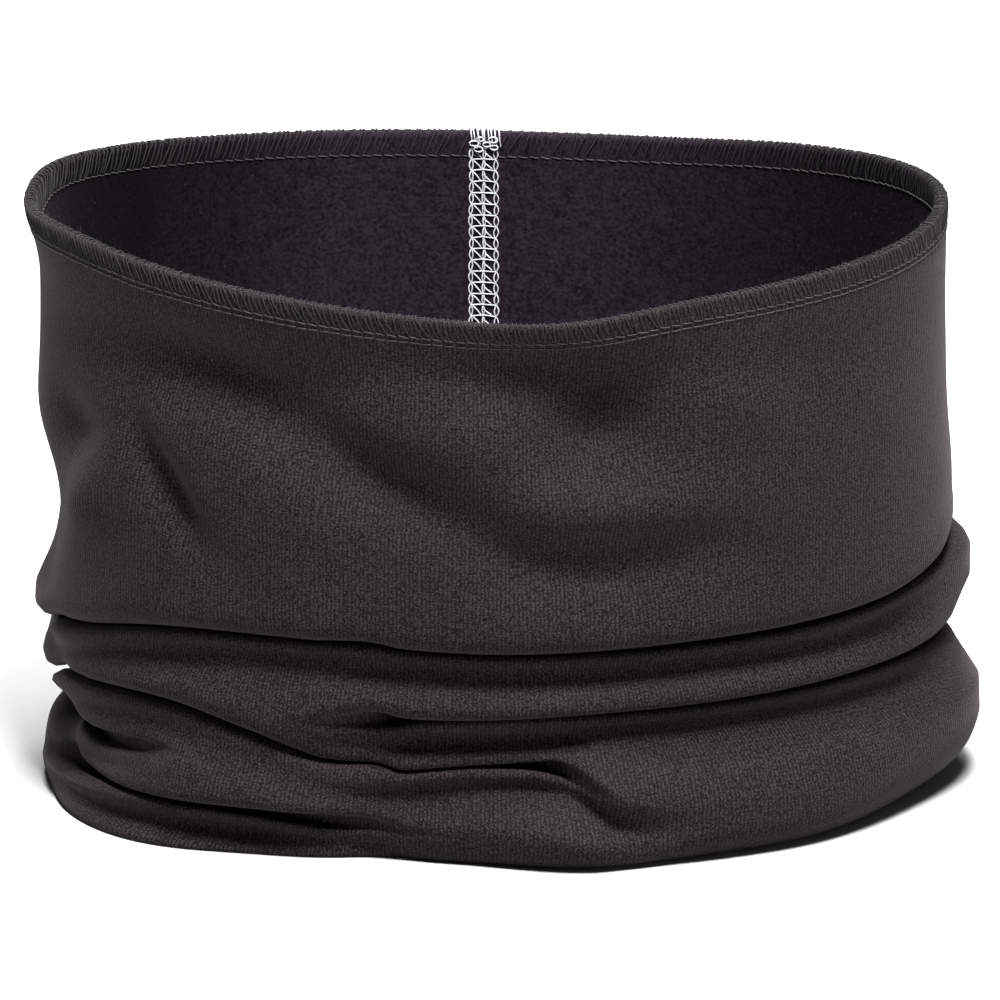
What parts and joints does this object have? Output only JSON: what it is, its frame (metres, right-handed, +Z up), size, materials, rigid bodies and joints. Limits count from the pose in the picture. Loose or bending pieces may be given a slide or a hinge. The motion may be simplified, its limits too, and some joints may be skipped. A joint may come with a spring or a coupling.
{
  "type": "neck gaiter",
  "caption": "Fleece-lined knit tube that stands open, lower half pushed down into soft folds, with overlocked edges and a flat back seam.",
  "frame": {"origin": "centre of the bounding box in plan, on the plane that the folded bottom stands on", "axes": "+Z up through the tube, +Y towards the back seam, -Y the wearer's front, +X to the right as the front is looked at"},
  "size_m": [0.1914, 0.1524, 0.1204],
  "materials": {
    "knit_charcoal": "smooth fine-knit polyester and elastane, soft matt sheen",
    "brushed_fleece": "short brushed fleece, matt",
    "overlock_thread": "fluffy textured polyester thread, matt",
    "needle_thread": "spun polyester thread, soft lustre",
    "seam_thread_grey": "light grey spun polyester thread, matt"
  },
  "bodies": {
    "root": {"face_knit": "knit_charcoal", "fleece_lining": "brushed_fleece", "top_edge_overlock": "overlock_thread", "top_needle_row_upper": "needle_thread", "top_needle_row_lower": "needle_thread", "back_seam_ladder": "seam_thread_grey", "back_seam_face_stitches": "needle_thread", "back_seam_top_tack": "seam_thread_grey", "back_seam_bottom_tack": "seam_thread_grey", "bottom_edge_overlock": "overlock_thread", "bottom_needle_row_upper": "needle_thread", "bottom_needle_row_lower": "needle_thread"}
  },
  "joints": []
}
